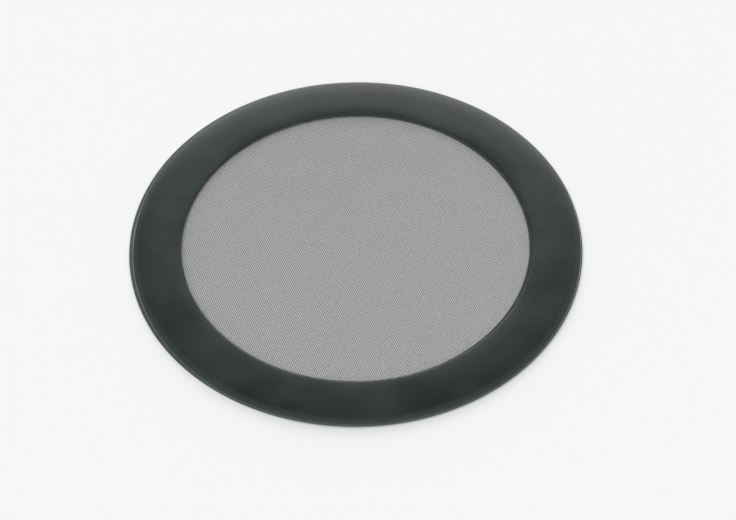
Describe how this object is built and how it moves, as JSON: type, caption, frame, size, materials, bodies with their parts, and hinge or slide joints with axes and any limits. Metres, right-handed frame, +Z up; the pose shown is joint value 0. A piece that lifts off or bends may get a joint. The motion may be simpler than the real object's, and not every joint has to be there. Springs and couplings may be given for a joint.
{
  "type": "fan dust filter",
  "caption": "Thin round dust filter for a case fan: a gauze disc in a flat flexible magnetic ring, lying on its extra self-adhesive mounting ring.",
  "frame": {"origin": "on the surface that the filter lies on, under the middle of the whole stack", "axes": "+Z up through the window, out of the filter's front; -Y towards the camera of the picture, +X to its right"},
  "size_m": [0.1186, 0.1186, 0.0019],
  "materials": {
    "black_vinyl": "satin",
    "magnetic_rubber": "matte",
    "black_gauze": "woven, matte",
    "clear_adhesive": "satin",
    "liner_paper": "smooth coated paper"
  },
  "bodies": {
    "root": {"front_frame": "black_vinyl", "front_bond": "clear_adhesive", "filter_mesh": "black_gauze", "rear_bond": "clear_adhesive", "filter_magnet": "magnetic_rubber", "mounting_magnet": "magnetic_rubber", "mounting_tape": "clear_adhesive", "release_liner": "liner_paper"}
  },
  "joints": []
}
